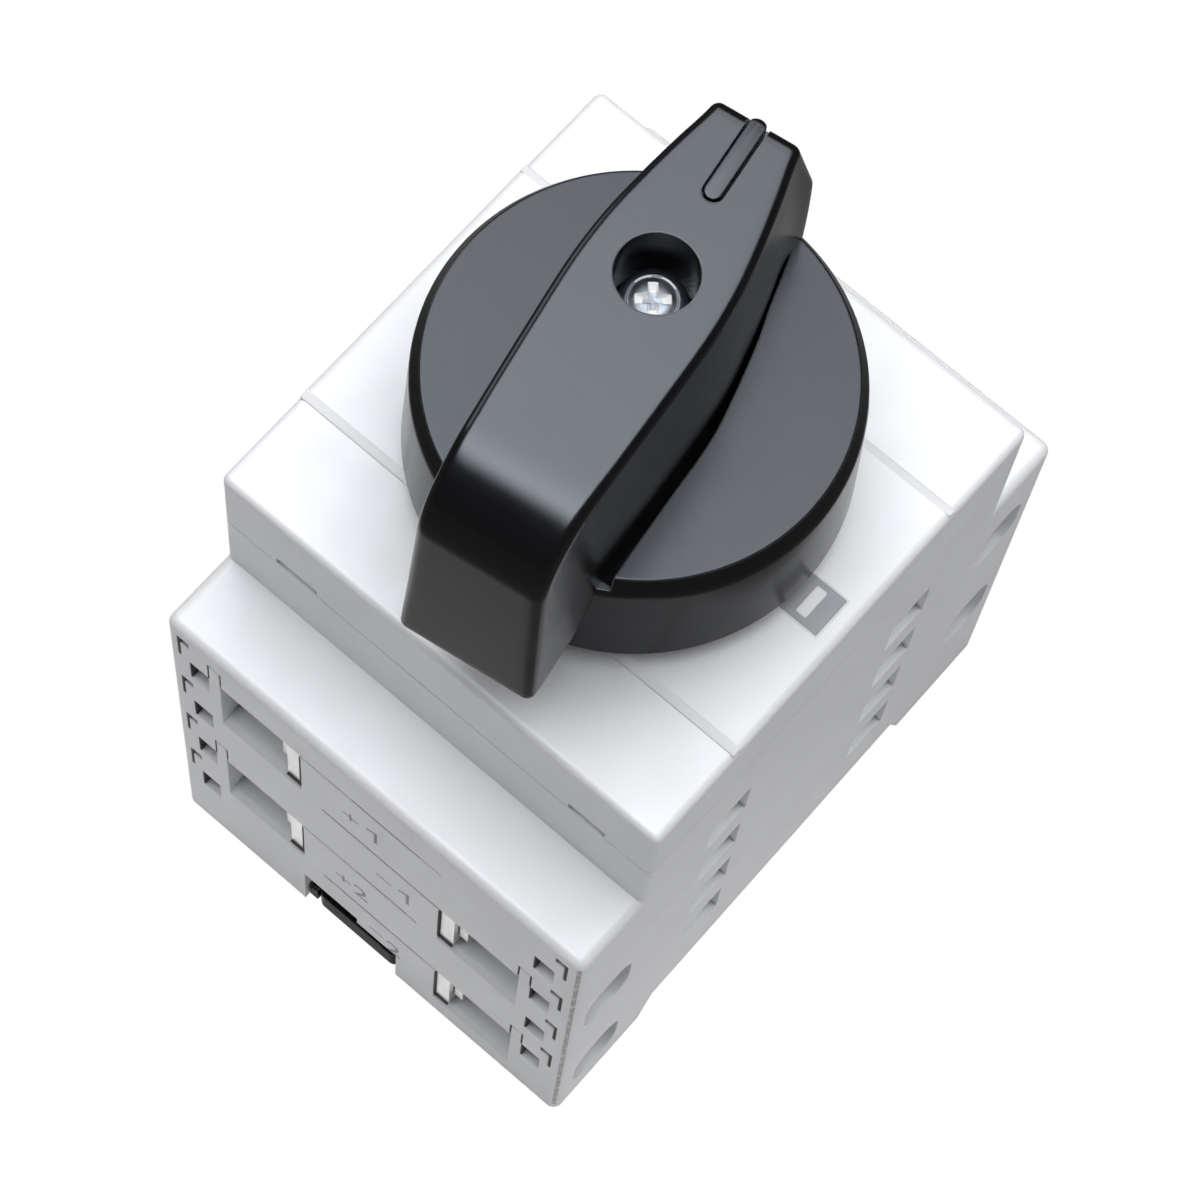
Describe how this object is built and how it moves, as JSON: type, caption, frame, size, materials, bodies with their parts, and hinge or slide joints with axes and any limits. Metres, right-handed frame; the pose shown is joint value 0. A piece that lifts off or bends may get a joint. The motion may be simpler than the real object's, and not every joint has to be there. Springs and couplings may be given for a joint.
{
  "type": "rotary switch disconnector",
  "caption": "Rail-mounted rotary switch disconnector: stacked light grey contact housings with side-entry screw terminals under a large black lever handle",
  "frame": {"origin": "on the base's underside, under the handle's axis, which is the centre of the base", "axes": "X along the mounting rail, Y across it from one terminal face to the other, +Z out of the front towards the handle"},
  "size_m": [0.072, 0.0972, 0.1616],
  "materials": {
    "housing_plastic": "fine moulded light grey, softly rounded edges",
    "handle_plastic": "satin black moulding with glossier rounded edges",
    "clip_plastic": "black moulding",
    "mechanism_plastic": "dark reinforced moulding",
    "steel": "bright zinc plated, fine drawn grain",
    "spring_steel": "drawn spring wire",
    "plated_contact": "silver plated strip with sheared edges",
    "chrome": "bright plated screw head"
  },
  "bodies": {
    "housing": {"rail_base": "housing_plastic", "contact_housing_3": "housing_plastic", "contact_housing_2": "housing_plastic", "contact_housing_1": "housing_plastic", "mechanism_housing": "housing_plastic", "top_cover": "housing_plastic", "assembly_screws": "steel", "clip_spring": "spring_steel", "fixed_contact_near_1": "plated_contact", "terminal_frame_near_1": "steel", "fixed_contact_far_1": "plated_contact", "terminal_frame_far_1": "steel", "fixed_contact_near_2": "plated_contact", "terminal_frame_near_2": "steel", "fixed_contact_far_2": "plated_contact", "terminal_frame_far_2": "steel", "fixed_contact_near_3": "plated_contact", "terminal_frame_near_3": "steel", "fixed_contact_far_3": "plated_contact", "terminal_frame_far_3": "steel", "fixed_contact_near_4": "plated_contact", "terminal_frame_near_4": "steel", "fixed_contact_far_4": "plated_contact", "terminal_frame_far_4": "steel"},
    "rotor_drive": {"handle": "handle_plastic", "pointer_insert": "handle_plastic", "handle_screw": "chrome", "handle_washer": "steel", "drive_shaft": "steel", "drive_cam": "mechanism_plastic", "snap_carrier": "mechanism_plastic", "snap_spring_left": "spring_steel", "snap_spring_right": "spring_steel", "rotor_1": "mechanism_plastic", "bridge_contact_1": "plated_contact", "rotor_2": "mechanism_plastic", "bridge_contact_2": "plated_contact", "rotor_3": "mechanism_plastic", "bridge_contact_3": "plated_contact", "rotor_4": "mechanism_plastic", "bridge_contact_4": "plated_contact"},
    "clip": {"din_clip": "clip_plastic"},
    "clamp_near_1": {"clamp_saddle_near_1": "steel"},
    "screw_near_1": {"terminal_screw_near_1": "steel"},
    "clamp_far_1": {"clamp_saddle_far_1": "steel"},
    "screw_far_1": {"terminal_screw_far_1": "steel"},
    "clamp_near_2": {"clamp_saddle_near_2": "steel"},
    "screw_near_2": {"terminal_screw_near_2": "steel"},
    "clamp_far_2": {"clamp_saddle_far_2": "steel"},
    "screw_far_2": {"terminal_screw_far_2": "steel"},
    "clamp_near_3": {"clamp_saddle_near_3": "steel"},
    "screw_near_3": {"terminal_screw_near_3": "steel"},
    "clamp_far_3": {"clamp_saddle_far_3": "steel"},
    "screw_far_3": {"terminal_screw_far_3": "steel"},
    "clamp_near_4": {"clamp_saddle_near_4": "steel"},
    "screw_near_4": {"terminal_screw_near_4": "steel"},
    "clamp_far_4": {"clamp_saddle_far_4": "steel"},
    "screw_far_4": {"terminal_screw_far_4": "steel"}
  },
  "joints": [
    {"name": "handle_turn", "type": "hinge", "parent": "housing", "child": "rotor_drive", "pos_m": [0, 0, 0.1], "axis": [0, 0, 1], "range_deg": [-99, 0]},
    {"name": "clip_pull", "type": "slide", "parent": "housing", "child": "clip", "axis": [0, -1, 0], "range_m": [0, 0.004], "stiffness_N_per_m": 600, "deforming": ["clip_spring"]},
    {"name": "clamp_near_1_slide", "type": "slide", "parent": "housing", "child": "clamp_near_1", "axis": [-1, 0, 0], "range_m": [0, 0.0048]},
    {"name": "screw_near_1_turn", "type": "hinge", "parent": "clamp_near_1", "child": "screw_near_1", "pos_m": [-0.029, -0.0405, 0.06028], "axis": [-1, 0, 0], "range_deg": [0, 2165]},
    {"name": "clamp_far_1_slide", "type": "slide", "parent": "housing", "child": "clamp_far_1", "axis": [1, 0, 0], "range_m": [0, 0.0048]},
    {"name": "screw_far_1_turn", "type": "hinge", "parent": "clamp_far_1", "child": "screw_far_1", "pos_m": [0.029, 0.0405, 0.06028], "axis": [1, 0, 0], "range_deg": [0, 2165]},
    {"name": "clamp_near_2_slide", "type": "slide", "parent": "housing", "child": "clamp_near_2", "axis": [1, 0, 0], "range_m": [0, 0.0048]},
    {"name": "screw_near_2_turn", "type": "hinge", "parent": "clamp_near_2", "child": "screw_near_2", "pos_m": [0.029, -0.0405, 0.04423], "axis": [1, 0, 0], "range_deg": [0, 2165]},
    {"name": "clamp_far_2_slide", "type": "slide", "parent": "housing", "child": "clamp_far_2", "axis": [-1, 0, 0], "range_m": [0, 0.0048]},
    {"name": "screw_far_2_turn", "type": "hinge", "parent": "clamp_far_2", "child": "screw_far_2", "pos_m": [-0.029, 0.0405, 0.04423], "axis": [-1, 0, 0], "range_deg": [0, 2165]},
    {"name": "clamp_near_3_slide", "type": "slide", "parent": "housing", "child": "clamp_near_3", "axis": [-1, 0, 0], "range_m": [0, 0.0048]},
    {"name": "screw_near_3_turn", "type": "hinge", "parent": "clamp_near_3", "child": "screw_near_3", "pos_m": [-0.029, -0.0405, 0.02817], "axis": [-1, 0, 0], "range_deg": [0, 2165]},
    {"name": "clamp_far_3_slide", "type": "slide", "parent": "housing", "child": "clamp_far_3", "axis": [1, 0, 0], "range_m": [0, 0.0048]},
    {"name": "screw_far_3_turn", "type": "hinge", "parent": "clamp_far_3", "child": "screw_far_3", "pos_m": [0.029, 0.0405, 0.02817], "axis": [1, 0, 0], "range_deg": [0, 2165]},
    {"name": "clamp_near_4_slide", "type": "slide", "parent": "housing", "child": "clamp_near_4", "axis": [1, 0, 0], "range_m": [0, 0.0048]},
    {"name": "screw_near_4_turn", "type": "hinge", "parent": "clamp_near_4", "child": "screw_near_4", "pos_m": [0.029, -0.0405, 0.01213], "axis": [1, 0, 0], "range_deg": [0, 2165]},
    {"name": "clamp_far_4_slide", "type": "slide", "parent": "housing", "child": "clamp_far_4", "axis": [-1, 0, 0], "range_m": [0, 0.0048]},
    {"name": "screw_far_4_turn", "type": "hinge", "parent": "clamp_far_4", "child": "screw_far_4", "pos_m": [-0.029, 0.0405, 0.01213], "axis": [-1, 0, 0], "range_deg": [0, 2165]}
  ],
  "couplings": [
    {"joint": "screw_near_1_turn", "follows": "clamp_near_1_slide", "rad_per_m": 7854},
    {"joint": "screw_far_1_turn", "follows": "clamp_far_1_slide", "rad_per_m": 7854},
    {"joint": "screw_near_2_turn", "follows": "clamp_near_2_slide", "rad_per_m": 7854},
    {"joint": "screw_far_2_turn", "follows": "clamp_far_2_slide", "rad_per_m": 7854},
    {"joint": "screw_near_3_turn", "follows": "clamp_near_3_slide", "rad_per_m": 7854},
    {"joint": "screw_far_3_turn", "follows": "clamp_far_3_slide", "rad_per_m": 7854},
    {"joint": "screw_near_4_turn", "follows": "clamp_near_4_slide", "rad_per_m": 7854},
    {"joint": "screw_far_4_turn", "follows": "clamp_far_4_slide", "rad_per_m": 7854}
  ]
}
